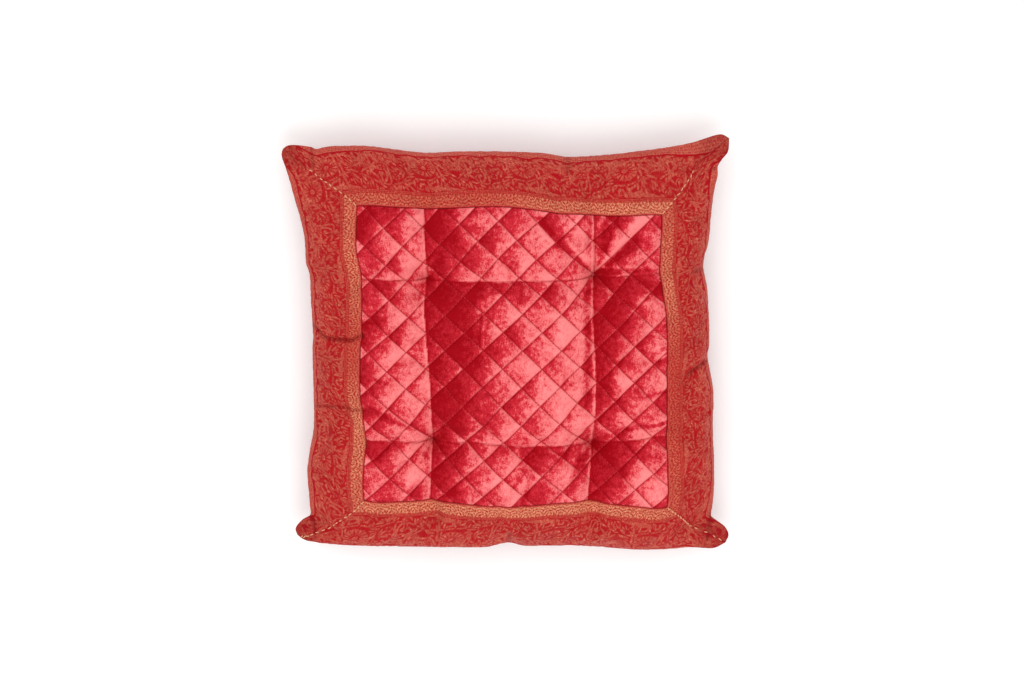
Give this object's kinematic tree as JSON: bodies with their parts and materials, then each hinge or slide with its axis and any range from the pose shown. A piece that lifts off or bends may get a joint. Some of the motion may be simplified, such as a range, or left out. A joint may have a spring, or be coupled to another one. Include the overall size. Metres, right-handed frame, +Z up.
{
  "type": "quilted floor cushion",
  "caption": "Square filled floor cushion with a diamond-quilted velvet panel, stitched-through tufts and mitred brocade ribbons round the face.",
  "frame": {"origin": "middle of the cushion's outline, on the floor it lies on", "axes": "+Z up out of the face, +Y towards the face's top edge in the picture, +X towards its right edge"},
  "size_m": [0.4064, 0.3834, 0.0879],
  "materials": {
    "back_cloth": "plain woven cotton, matt",
    "velvet": "crushed velvet, soft sheen",
    "brocade": "brocade with dull gold thread"
  },
  "bodies": {
    "root": {"filled_back": "back_cloth", "velvet_panel": "velvet", "brocade_top": "brocade", "brocade_right": "brocade", "brocade_bottom": "brocade", "brocade_left": "brocade"}
  },
  "joints": []
}
